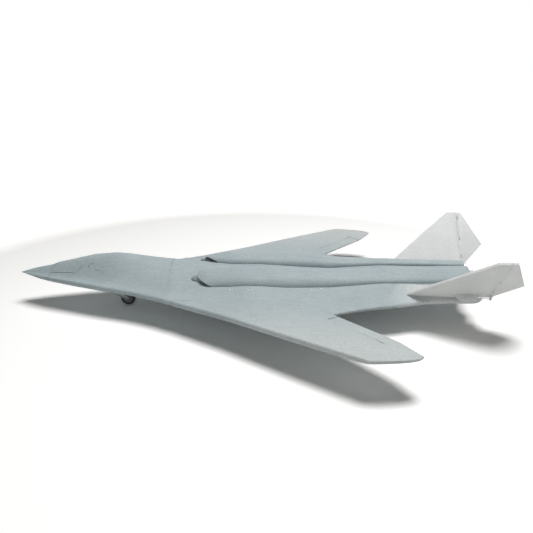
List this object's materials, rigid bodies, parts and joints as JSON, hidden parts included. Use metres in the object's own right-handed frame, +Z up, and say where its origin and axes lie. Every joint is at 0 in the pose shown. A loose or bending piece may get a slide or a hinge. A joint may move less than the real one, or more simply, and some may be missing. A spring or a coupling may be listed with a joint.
{
  "type": "rc jet plane",
  "caption": "Twin ducted-fan model jet with chined blended body, swept wings, canted V tails, steerable nose gear and lift-off canopy.",
  "frame": {"origin": "on the ground under the middle of the overall length, on the centre plane", "axes": "+X aft, -X toward the nose, +Y to starboard, +Z up"},
  "size_m": [0.96, 0.674, 0.1636],
  "materials": {
    "airframe_skin": "matt, slightly translucent moulded resin",
    "tail_sheet": "matt thin translucent sheet",
    "carbon_tube": "wound carbon tube",
    "black_nylon": "moulded glass-filled nylon",
    "white_nylon": "moulded nylon",
    "servo_case": "smooth moulded case",
    "spring_steel": "drawn wire",
    "motor_can": "turned can",
    "thin_alloy": "rolled thin sheet",
    "battery_wrap": "shrink wrap",
    "electronics_wrap": "shrink wrap over a board",
    "wheel_rubber": "foam rubber"
  },
  "bodies": {
    "airframe": {"nose_cone": "airframe_skin", "nose_former": "airframe_skin", "forward_belly_pan": "airframe_skin", "canopy_former": "airframe_skin", "center_deck": "airframe_skin", "center_belly": "airframe_skin", "spar_carrier": "black_nylon", "wing_joiner_tube": "carbon_tube", "fan_bulkhead": "black_nylon", "left_nacelle_cover": "airframe_skin", "right_nacelle_cover": "airframe_skin", "left_inlet_cone": "airframe_skin", "right_inlet_cone": "airframe_skin", "left_fan_housing": "black_nylon", "right_fan_housing": "black_nylon", "fan_motors": "motor_can", "left_thrust_tube": "thin_alloy", "right_thrust_tube": "thin_alloy", "speed_controllers": "electronics_wrap", "battery_pack": "battery_wrap", "battery_tray": "black_nylon", "receiver": "electronics_wrap", "left_wing_panel": "airframe_skin", "right_wing_panel": "airframe_skin", "hinge_wires": "spring_steel", "wing_servos": "servo_case", "left_tail_boom": "airframe_skin", "right_tail_boom": "airframe_skin", "left_tail_fin": "tail_sheet", "right_tail_fin": "tail_sheet", "tail_servos": "servo_case", "actuator_fairings": "airframe_skin", "nose_gear_mount": "black_nylon", "gear_screws": "spring_steel", "steering_servo": "servo_case", "left_main_leg": "spring_steel", "right_main_leg": "spring_steel"},
    "canopy_hatch": {"canopy_hatch": "airframe_skin"},
    "left_elevon": {"left_elevon": "airframe_skin", "left_elevon_horn": "airframe_skin"},
    "left_elevon_servo_arm": {"left_elevon_servo_arm": "white_nylon"},
    "left_elevon_pushrod": {"left_elevon_pushrod": "spring_steel"},
    "left_ruddervator": {"left_ruddervator": "tail_sheet", "left_ruddervator_horn": "airframe_skin"},
    "left_tail_servo_arm": {"left_tail_servo_arm": "white_nylon"},
    "left_tail_pushrod": {"left_tail_pushrod": "spring_steel"},
    "left_fan_rotor": {"left_fan_rotor": "black_nylon"},
    "right_elevon": {"right_elevon": "airframe_skin", "right_elevon_horn": "airframe_skin"},
    "right_elevon_servo_arm": {"right_elevon_servo_arm": "white_nylon"},
    "right_elevon_pushrod": {"right_elevon_pushrod": "spring_steel"},
    "right_ruddervator": {"right_ruddervator": "tail_sheet", "right_ruddervator_horn": "airframe_skin"},
    "right_tail_servo_arm": {"right_tail_servo_arm": "white_nylon"},
    "right_tail_pushrod": {"right_tail_pushrod": "spring_steel"},
    "right_fan_rotor": {"right_fan_rotor": "black_nylon"},
    "nose_leg": {"nose_leg": "spring_steel"},
    "nose_wheel": {"nose_wheel": "wheel_rubber"},
    "left_main_wheel": {"left_main_wheel": "wheel_rubber"},
    "right_main_wheel": {"right_main_wheel": "wheel_rubber"}
  },
  "joints": [
    {"name": "canopy_lift", "type": "slide", "parent": "airframe", "child": "canopy_hatch", "axis": [0, 0, 1], "range_m": [0, 0.06]},
    {"name": "left_elevon_hinge", "type": "hinge", "parent": "airframe", "child": "left_elevon", "pos_m": [0.17569, -0.23397, 0.06445], "axis": [-0.6674, 0.7438, -0.0372], "range_deg": [-22, 22]},
    {"name": "left_elevon_arm_turn", "type": "hinge", "parent": "airframe", "child": "left_elevon_servo_arm", "pos_m": [0.12791, -0.24657, 0.06508], "axis": [-0.6674, 0.7438, -0.0372], "range_deg": [-22, 22]},
    {"name": "left_elevon_rod_pivot", "type": "hinge", "parent": "left_elevon_servo_arm", "child": "left_elevon_pushrod", "pos_m": [0.12791, -0.24707, 0.05509], "axis": [-0.6674, 0.7438, -0.0372], "range_deg": [-22, 22]},
    {"name": "left_ruddervator_hinge", "type": "hinge", "parent": "airframe", "child": "left_ruddervator", "pos_m": [0.4338, -0.084, 0.068], "axis": [0, 0.6691, -0.7431], "range_deg": [-20, 20]},
    {"name": "left_tail_arm_turn", "type": "hinge", "parent": "airframe", "child": "left_tail_servo_arm", "pos_m": [0.3838, -0.08935, 0.07394], "axis": [0, 0.6691, -0.7431], "range_deg": [-20, 20]},
    {"name": "left_tail_rod_pivot", "type": "hinge", "parent": "left_tail_servo_arm", "child": "left_tail_pushrod", "pos_m": [0.3838, -0.09604, 0.06792], "axis": [0, 0.6691, -0.7431], "range_deg": [-20, 20]},
    {"name": "left_fan_spin", "type": "hinge", "parent": "airframe", "child": "left_fan_rotor", "pos_m": [0.03, -0.05, 0.0715], "axis": [1, 0, 0], "continuous": true},
    {"name": "right_elevon_hinge", "type": "hinge", "parent": "airframe", "child": "right_elevon", "pos_m": [0.17569, 0.23397, 0.06445], "axis": [0.6674, 0.7438, 0.0372], "range_deg": [-22, 22]},
    {"name": "right_elevon_arm_turn", "type": "hinge", "parent": "airframe", "child": "right_elevon_servo_arm", "pos_m": [0.12791, 0.24657, 0.06508], "axis": [0.6674, 0.7438, 0.0372], "range_deg": [-22, 22]},
    {"name": "right_elevon_rod_pivot", "type": "hinge", "parent": "right_elevon_servo_arm", "child": "right_elevon_pushrod", "pos_m": [0.12791, 0.24707, 0.05509], "axis": [0.6674, 0.7438, 0.0372], "range_deg": [-22, 22]},
    {"name": "right_ruddervator_hinge", "type": "hinge", "parent": "airframe", "child": "right_ruddervator", "pos_m": [0.4338, 0.084, 0.068], "axis": [0, 0.6691, 0.7431], "range_deg": [-20, 20]},
    {"name": "right_tail_arm_turn", "type": "hinge", "parent": "airframe", "child": "right_tail_servo_arm", "pos_m": [0.3838, 0.08935, 0.07394], "axis": [0, 0.6691, 0.7431], "range_deg": [-20, 20]},
    {"name": "right_tail_rod_pivot", "type": "hinge", "parent": "right_tail_servo_arm", "child": "right_tail_pushrod", "pos_m": [0.3838, 0.09604, 0.06792], "axis": [0, 0.6691, 0.7431], "range_deg": [-20, 20]},
    {"name": "right_fan_spin", "type": "hinge", "parent": "airframe", "child": "right_fan_rotor", "pos_m": [0.03, 0.05, 0.0715], "axis": [1, 0, 0], "continuous": true},
    {"name": "nose_steering", "type": "hinge", "parent": "airframe", "child": "nose_leg", "pos_m": [-0.29, 0, 0.05], "axis": [0, 0, 1], "range_deg": [-30, 30]},
    {"name": "nose_wheel_roll", "type": "hinge", "parent": "nose_leg", "child": "nose_wheel", "pos_m": [-0.263, 0, 0.0155], "axis": [0, 1, 0], "continuous": true},
    {"name": "left_main_wheel_roll", "type": "hinge", "parent": "airframe", "child": "left_main_wheel", "pos_m": [0.11, -0.096, 0.0185], "axis": [0, 1, 0], "continuous": true},
    {"name": "right_main_wheel_roll", "type": "hinge", "parent": "airframe", "child": "right_main_wheel", "pos_m": [0.11, 0.096, 0.0185], "axis": [0, 1, 0], "continuous": true}
  ],
  "couplings": [
    {"joint": "left_elevon_arm_turn", "follows": "left_elevon_hinge", "ratio": 1},
    {"joint": "left_elevon_rod_pivot", "follows": "left_elevon_hinge", "ratio": -1},
    {"joint": "left_tail_arm_turn", "follows": "left_ruddervator_hinge", "ratio": 1},
    {"joint": "left_tail_rod_pivot", "follows": "left_ruddervator_hinge", "ratio": -1},
    {"joint": "right_elevon_arm_turn", "follows": "right_elevon_hinge", "ratio": 1},
    {"joint": "right_elevon_rod_pivot", "follows": "right_elevon_hinge", "ratio": -1},
    {"joint": "right_tail_arm_turn", "follows": "right_ruddervator_hinge", "ratio": 1},
    {"joint": "right_tail_rod_pivot", "follows": "right_ruddervator_hinge", "ratio": -1}
  ]
}
